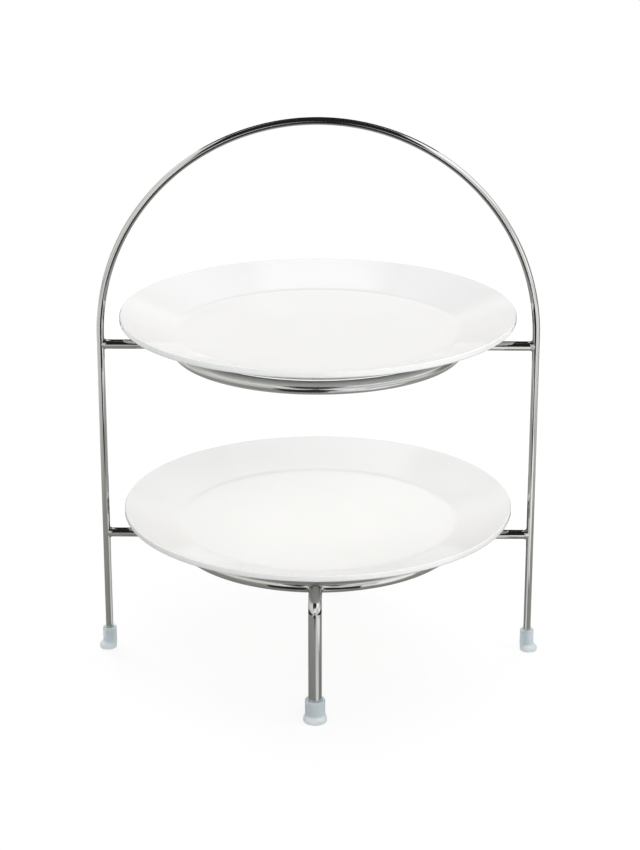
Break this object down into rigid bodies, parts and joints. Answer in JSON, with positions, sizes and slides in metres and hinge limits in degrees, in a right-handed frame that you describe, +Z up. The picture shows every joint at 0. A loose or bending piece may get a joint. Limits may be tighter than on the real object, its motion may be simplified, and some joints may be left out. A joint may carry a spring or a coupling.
{
  "type": "tiered serving stand",
  "caption": "Serving stand: an arched steel rod frame with ring holders one above the other that carry loose white porcelain plates, on soft plastic foot caps.",
  "frame": {"origin": "on the floor, below the centre of the plates", "axes": "+Z up, +X to the right-hand leg of the hoop, -Y to the front"},
  "size_m": [0.2434, 0.21, 0.3],
  "materials": {
    "steel": "bright drawn and polished stainless steel rod",
    "porcelain": "plain white, glossy glaze",
    "foot_plastic": "soft, cloudy, almost clear plastic"
  },
  "bodies": {
    "frame": {"hoop": "steel", "lower_ring": "steel", "upper_ring": "steel", "lower_left_cross_rod": "steel", "lower_right_cross_rod": "steel", "upper_left_cross_rod": "steel", "upper_right_cross_rod": "steel", "front_leg": "steel", "rear_leg": "steel", "lower_left_hoop_weld": "steel", "lower_left_ring_weld": "steel", "lower_right_hoop_weld": "steel", "lower_right_ring_weld": "steel", "upper_left_hoop_weld": "steel", "upper_left_ring_weld": "steel", "upper_right_hoop_weld": "steel", "upper_right_ring_weld": "steel", "front_leg_weld": "steel", "rear_leg_weld": "steel", "left_foot_cap": "foot_plastic", "right_foot_cap": "foot_plastic", "front_foot_cap": "foot_plastic", "rear_foot_cap": "foot_plastic"},
    "lower_tier": {"lower_plate": "porcelain"},
    "upper_tier": {"upper_plate": "porcelain"}
  },
  "joints": [
    {"name": "lower_plate_lift", "type": "slide", "parent": "frame", "child": "lower_tier", "axis": [0, -0.9205, 0.3907], "range_m": [0, 0.22]},
    {"name": "upper_plate_lift", "type": "slide", "parent": "frame", "child": "upper_tier", "axis": [0, -0.9205, 0.3907], "range_m": [0, 0.22]}
  ]
}
